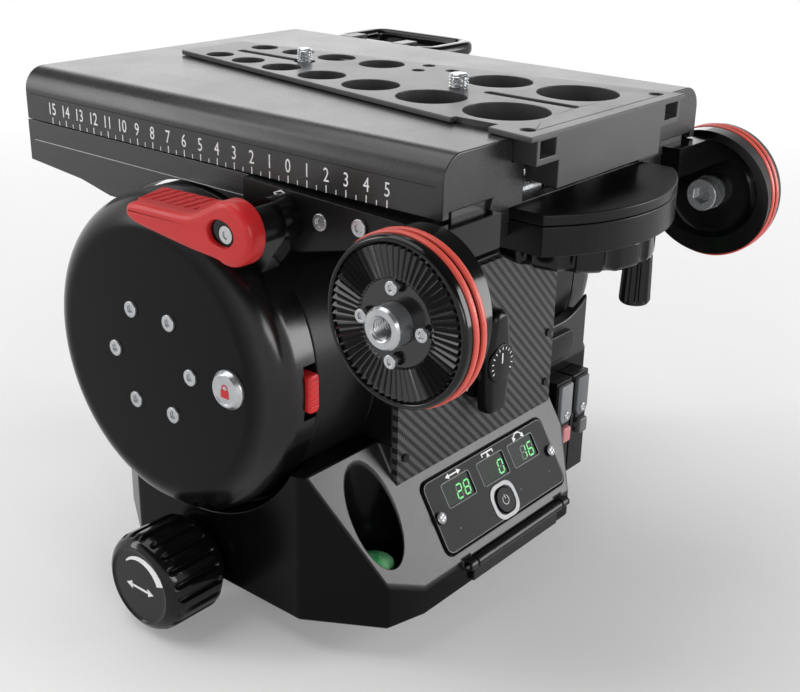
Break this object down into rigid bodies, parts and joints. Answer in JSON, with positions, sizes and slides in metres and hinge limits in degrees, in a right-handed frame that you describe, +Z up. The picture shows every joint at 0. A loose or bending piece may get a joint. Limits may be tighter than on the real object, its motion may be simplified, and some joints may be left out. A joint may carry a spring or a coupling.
{
  "type": "fluid video head",
  "caption": "Fluid video head with a sliding balance platform, wedge camera plate, drum tilt, display and level, and a toothed pan bar rosette on each side.",
  "frame": {"origin": "on the pan axis, at the underside of the base plate", "axes": "+X to the operator's right, +Y towards the lens, +Z up"},
  "size_m": [0.2978, 0.2801, 0.2347],
  "materials": {
    "black_cast": "fine textured black paint",
    "black_satin": "satin black anodised",
    "plate_grey": "satin dark grey anodised",
    "cap_black": "semi gloss black paint",
    "black_plastic": "fine matte",
    "gloss_black": "glossy",
    "red": "satin red",
    "pink": "satin",
    "grey_plastic": "satin light grey",
    "steel": "bright turned",
    "carbon": "diagonal woven fibre under a satin coat",
    "bronze": "machined",
    "panel": "satin film",
    "window": "dark green tinted",
    "vial": "clear green",
    "board": "lacquered",
    "cell": "shrink sleeve"
  },
  "bodies": {
    "base": {"base_plate": "black_cast", "pan_spindle": "steel", "spindle_screws": "steel", "spindle_nut": "steel"},
    "pan": {"pan_housing": "black_cast", "pan_bearings": "steel", "pan_drag_cartridge": "bronze", "tilt_housing": "black_cast", "tilt_bearings": "steel", "tilt_drag_stator": "bronze", "spring_cassette": "black_satin", "carbon_panel": "carbon", "panel_screws": "steel", "dial_plate": "gloss_black", "display_panel": "panel", "display_windows": "window", "display_board": "board", "level_vial": "vial", "battery": "cell", "hinge_pin": "steel", "brake_boxes": "black_plastic"},
    "tilt": {"tilt_shaft": "steel", "left_cap": "cap_black", "right_cap": "cap_black", "side_screws": "steel", "tilt_drag_rotor": "steel", "left_arm": "black_satin", "right_arm": "black_satin", "cradle": "black_satin", "left_cup": "cap_black", "right_cup": "cap_black", "rosettes": "cap_black", "rosette_screws": "steel", "bar_bushes": "steel", "cup_bolts": "steel", "red_rings": "red", "crank_plate": "black_satin", "gear_cover": "black_satin"},
    "platform": {"platform": "black_satin", "rack": "steel", "clamp_screw": "steel"},
    "camera_plate": {"camera_plate": "plate_grey", "camera_screws": "steel"},
    "lock_lever": {"lock_lever": "red", "lever_screw": "steel"},
    "pan_drag_knob": {"pan_drag_knob": "black_plastic"},
    "tilt_drag_knob": {"tilt_drag_knob": "black_plastic"},
    "counterbalance_knob": {"counterbalance_knob": "gloss_black"},
    "crank": {"crank_knob": "black_plastic", "crank_gear": "steel"},
    "pinion": {"pinion": "steel"},
    "crank_grip": {"crank_grip": "black_plastic"},
    "lock_button": {"lock_button": "steel"},
    "drum_latch": {"drum_latch": "red"},
    "power_button": {"power_button": "grey_plastic"},
    "pan_brake": {"pan_brake_slider": "pink"},
    "tilt_brake": {"tilt_brake_slider": "grey_plastic"},
    "battery_door": {"battery_door": "black_plastic"},
    "release_bail": {"release_bail": "gloss_black"}
  },
  "joints": [
    {"name": "pan", "type": "hinge", "parent": "base", "child": "pan", "pos_m": [0, 0, 0], "axis": [0, 0, 1], "continuous": true},
    {"name": "tilt", "type": "hinge", "parent": "pan", "child": "tilt", "pos_m": [0, 0, 0.1223], "axis": [1, 0, 0], "range_deg": [-60, 25]},
    {"name": "platform_slide", "type": "slide", "parent": "tilt", "child": "platform", "axis": [0, 1, 0], "range_m": [-0.06, 0.03]},
    {"name": "crank", "type": "hinge", "parent": "tilt", "child": "crank", "pos_m": [0, -0.1255, 0.18], "axis": [0, 0, 1], "range_deg": [-115, 58]},
    {"name": "pinion", "type": "hinge", "parent": "tilt", "child": "pinion", "pos_m": [0, -0.0865, 0.19], "axis": [0, 0, 1], "range_deg": [-192, 383]},
    {"name": "grip_spin", "type": "hinge", "parent": "crank", "child": "crank_grip", "pos_m": [0.01675, -0.14856, 0.165], "axis": [0, 0, 1], "continuous": true},
    {"name": "plate_slide", "type": "slide", "parent": "platform", "child": "camera_plate", "axis": [0, -1, 0], "range_m": [0, 0.24]},
    {"name": "lock_lever", "type": "hinge", "parent": "tilt", "child": "lock_lever", "pos_m": [-0.126, -0.0572, 0.1922], "axis": [1, 0, 0], "range_deg": [0, 60]},
    {"name": "pan_drag", "type": "hinge", "parent": "pan", "child": "pan_drag_knob", "pos_m": [-0.12, -0.0065, 0.024], "axis": [1, 0, 0], "range_deg": [-150, 150]},
    {"name": "tilt_drag", "type": "hinge", "parent": "tilt", "child": "tilt_drag_knob", "pos_m": [0.13, 0, 0.1223], "axis": [1, 0, 0], "range_deg": [-150, 150]},
    {"name": "counterbalance", "type": "hinge", "parent": "pan", "child": "counterbalance_knob", "pos_m": [0, -0.09, 0.1103], "axis": [0, 1, 0], "range_deg": [-135, 135]},
    {"name": "lock_button", "type": "slide", "parent": "tilt", "child": "lock_button", "axis": [1, 0, 0], "range_m": [0, 0.0025], "stiffness_N_per_m": 800},
    {"name": "drum_latch", "type": "slide", "parent": "tilt", "child": "drum_latch", "axis": [0, 0, 1], "range_m": [-0.003, 0.003]},
    {"name": "power_button", "type": "slide", "parent": "pan", "child": "power_button", "axis": [0, -0.8536, 0.521], "range_m": [-0.001, 0], "stiffness_N_per_m": 800},
    {"name": "pan_brake", "type": "slide", "parent": "pan", "child": "pan_brake", "axis": [0, 0, 1], "range_m": [-0.006, 0.006]},
    {"name": "tilt_brake", "type": "slide", "parent": "pan", "child": "tilt_brake", "axis": [0, 0, 1], "range_m": [-0.006, 0.006]},
    {"name": "battery_door", "type": "hinge", "parent": "pan", "child": "battery_door", "pos_m": [0, -0.1095, 0.0285], "axis": [-1, 0, 0], "range_deg": [0, 95]},
    {"name": "release_bail", "type": "hinge", "parent": "platform", "child": "release_bail", "pos_m": [0.101, 0.066, 0.2207], "axis": [0, -1, 0], "range_deg": [0, 75]}
  ],
  "couplings": [
    {"joint": "crank", "follows": "platform_slide", "rad_per_m": 33.333},
    {"joint": "pinion", "follows": "platform_slide", "rad_per_m": -111.11}
  ]
}
